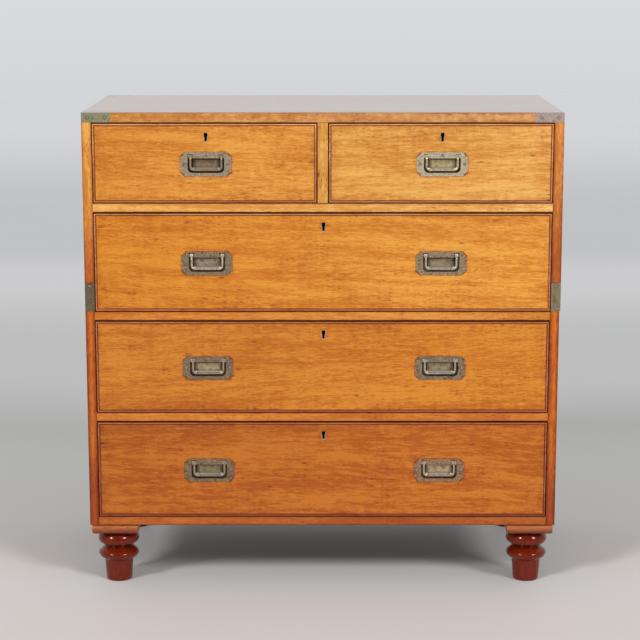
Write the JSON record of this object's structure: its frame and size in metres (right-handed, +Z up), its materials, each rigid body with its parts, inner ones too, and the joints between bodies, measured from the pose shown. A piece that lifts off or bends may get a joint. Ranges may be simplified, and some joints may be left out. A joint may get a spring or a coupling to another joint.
{
  "type": "campaign chest of drawers",
  "caption": "Two-section campaign chest with short and long drawers, flush swing handles, brass corner straps, lock bolts and turned bun feet.",
  "frame": {"origin": "on the floor under the middle of the chest", "axes": "+Z up, +X to the right of someone facing the drawers, +Y from the drawer fronts to the back"},
  "size_m": [0.93, 0.4815, 0.9483],
  "materials": {
    "case_wood": "waxed hardwood, warm red-brown",
    "front_wood": "polished hardwood, golden brown",
    "bead_wood": "waxed hardwood, reddish",
    "drawer_wood": "plain unpolished wood",
    "inner_wood": "plain unpolished wood",
    "foot_wood": "glossy dark red polish",
    "plate_brass": "dull aged brass",
    "bail_brass": "worn brass",
    "strap_brass": "tarnished brass",
    "lock_brass": "dull brass"
  },
  "bodies": {
    "lower_section": {"lower_side_left": "case_wood", "lower_side_right": "case_wood", "lower_top_board": "case_wood", "lower_bottom_board": "case_wood", "lower_mid_rail": "case_wood", "lower_runners": "inner_wood", "lower_drawer_stops": "inner_wood", "lower_back_boards": "inner_wood", "locating_pegs": "inner_wood", "foot_blocks": "foot_wood", "turned_feet": "foot_wood"},
    "upper_section": {"upper_side_left": "case_wood", "upper_side_right": "case_wood", "upper_top_board": "case_wood", "upper_base_board": "inner_wood", "upper_rail": "case_wood", "drawer_divider": "case_wood", "upper_runners": "inner_wood", "upper_drawer_stops": "inner_wood", "upper_back_boards": "inner_wood", "top_corner_straps": "strap_brass", "base_corner_straps": "strap_brass"},
    "top_left_drawer": {"top_left_drawer_front": "front_wood", "top_left_drawer_box": "drawer_wood", "top_left_drawer_bead": "bead_wood", "top_left_drawer_plates": "plate_brass", "top_left_drawer_lock": "lock_brass"},
    "top_left_drawer_bolt": {"top_left_drawer_bolt": "lock_brass"},
    "top_left_drawer_bail": {"top_left_drawer_bail": "bail_brass"},
    "top_right_drawer": {"top_right_drawer_front": "front_wood", "top_right_drawer_box": "drawer_wood", "top_right_drawer_bead": "bead_wood", "top_right_drawer_plates": "plate_brass", "top_right_drawer_lock": "lock_brass"},
    "top_right_drawer_bolt": {"top_right_drawer_bolt": "lock_brass"},
    "top_right_drawer_bail": {"top_right_drawer_bail": "bail_brass"},
    "second_drawer": {"second_drawer_front": "front_wood", "second_drawer_box": "drawer_wood", "second_drawer_bead": "bead_wood", "second_drawer_plates": "plate_brass", "second_drawer_lock": "lock_brass"},
    "second_drawer_bolt": {"second_drawer_bolt": "lock_brass"},
    "second_drawer_bail_left": {"second_drawer_bail_left": "bail_brass"},
    "second_drawer_bail_right": {"second_drawer_bail_right": "bail_brass"},
    "third_drawer": {"third_drawer_front": "front_wood", "third_drawer_box": "drawer_wood", "third_drawer_bead": "bead_wood", "third_drawer_plates": "plate_brass", "third_drawer_lock": "lock_brass"},
    "third_drawer_bolt": {"third_drawer_bolt": "lock_brass"},
    "third_drawer_bail_left": {"third_drawer_bail_left": "bail_brass"},
    "third_drawer_bail_right": {"third_drawer_bail_right": "bail_brass"},
    "bottom_drawer": {"bottom_drawer_front": "front_wood", "bottom_drawer_box": "drawer_wood", "bottom_drawer_bead": "bead_wood", "bottom_drawer_plates": "plate_brass", "bottom_drawer_lock": "lock_brass"},
    "bottom_drawer_bolt": {"bottom_drawer_bolt": "lock_brass"},
    "bottom_drawer_bail_left": {"bottom_drawer_bail_left": "bail_brass"},
    "bottom_drawer_bail_right": {"bottom_drawer_bail_right": "bail_brass"}
  },
  "joints": [
    {"name": "upper_section_lift", "type": "slide", "parent": "lower_section", "child": "upper_section", "axis": [0, 0, 1], "range_m": [0, 0.04]},
    {"name": "top_left_drawer_slide", "type": "slide", "parent": "upper_section", "child": "top_left_drawer", "axis": [0, -1, 0], "range_m": [0, 0.36]},
    {"name": "top_left_drawer_bolt_throw", "type": "slide", "parent": "top_left_drawer", "child": "top_left_drawer_bolt", "axis": [0, 0, 1], "range_m": [0, 0.006]},
    {"name": "top_left_drawer_bail_swing", "type": "hinge", "parent": "top_left_drawer", "child": "top_left_drawer_bail", "pos_m": [-0.22575, -0.237, 0.864], "axis": [-1, 0, 0], "range_deg": [0, 90]},
    {"name": "top_right_drawer_slide", "type": "slide", "parent": "upper_section", "child": "top_right_drawer", "axis": [0, -1, 0], "range_m": [0, 0.36]},
    {"name": "top_right_drawer_bolt_throw", "type": "slide", "parent": "top_right_drawer", "child": "top_right_drawer_bolt", "axis": [0, 0, 1], "range_m": [0, 0.006]},
    {"name": "top_right_drawer_bail_swing", "type": "hinge", "parent": "top_right_drawer", "child": "top_right_drawer_bail", "pos_m": [0.23075, -0.237, 0.864], "axis": [-1, 0, 0], "range_deg": [0, 90]},
    {"name": "second_drawer_slide", "type": "slide", "parent": "upper_section", "child": "second_drawer", "axis": [0, -1, 0], "range_m": [0, 0.36]},
    {"name": "second_drawer_bolt_throw", "type": "slide", "parent": "second_drawer", "child": "second_drawer_bolt", "axis": [0, 0, 1], "range_m": [0, 0.006]},
    {"name": "second_drawer_bail_left_swing", "type": "hinge", "parent": "second_drawer", "child": "second_drawer_bail_left", "pos_m": [-0.22575, -0.237, 0.6705], "axis": [-1, 0, 0], "range_deg": [0, 90]},
    {"name": "second_drawer_bail_right_swing", "type": "hinge", "parent": "second_drawer", "child": "second_drawer_bail_right", "pos_m": [0.23075, -0.237, 0.6705], "axis": [-1, 0, 0], "range_deg": [0, 90]},
    {"name": "third_drawer_slide", "type": "slide", "parent": "lower_section", "child": "third_drawer", "axis": [0, -1, 0], "range_m": [0, 0.36]},
    {"name": "third_drawer_bolt_throw", "type": "slide", "parent": "third_drawer", "child": "third_drawer_bolt", "axis": [0, 0, 1], "range_m": [0, 0.006]},
    {"name": "third_drawer_bail_left_swing", "type": "hinge", "parent": "third_drawer", "child": "third_drawer_bail_left", "pos_m": [-0.22575, -0.237, 0.4622], "axis": [-1, 0, 0], "range_deg": [0, 90]},
    {"name": "third_drawer_bail_right_swing", "type": "hinge", "parent": "third_drawer", "child": "third_drawer_bail_right", "pos_m": [0.23075, -0.237, 0.4622], "axis": [-1, 0, 0], "range_deg": [0, 90]},
    {"name": "bottom_drawer_slide", "type": "slide", "parent": "lower_section", "child": "bottom_drawer", "axis": [0, -1, 0], "range_m": [0, 0.36]},
    {"name": "bottom_drawer_bolt_throw", "type": "slide", "parent": "bottom_drawer", "child": "bottom_drawer_bolt", "axis": [0, 0, 1], "range_m": [0, 0.006]},
    {"name": "bottom_drawer_bail_left_swing", "type": "hinge", "parent": "bottom_drawer", "child": "bottom_drawer_bail_left", "pos_m": [-0.22575, -0.237, 0.2542], "axis": [-1, 0, 0], "range_deg": [0, 90]},
    {"name": "bottom_drawer_bail_right_swing", "type": "hinge", "parent": "bottom_drawer", "child": "bottom_drawer_bail_right", "pos_m": [0.23075, -0.237, 0.2542], "axis": [-1, 0, 0], "range_deg": [0, 90]}
  ]
}
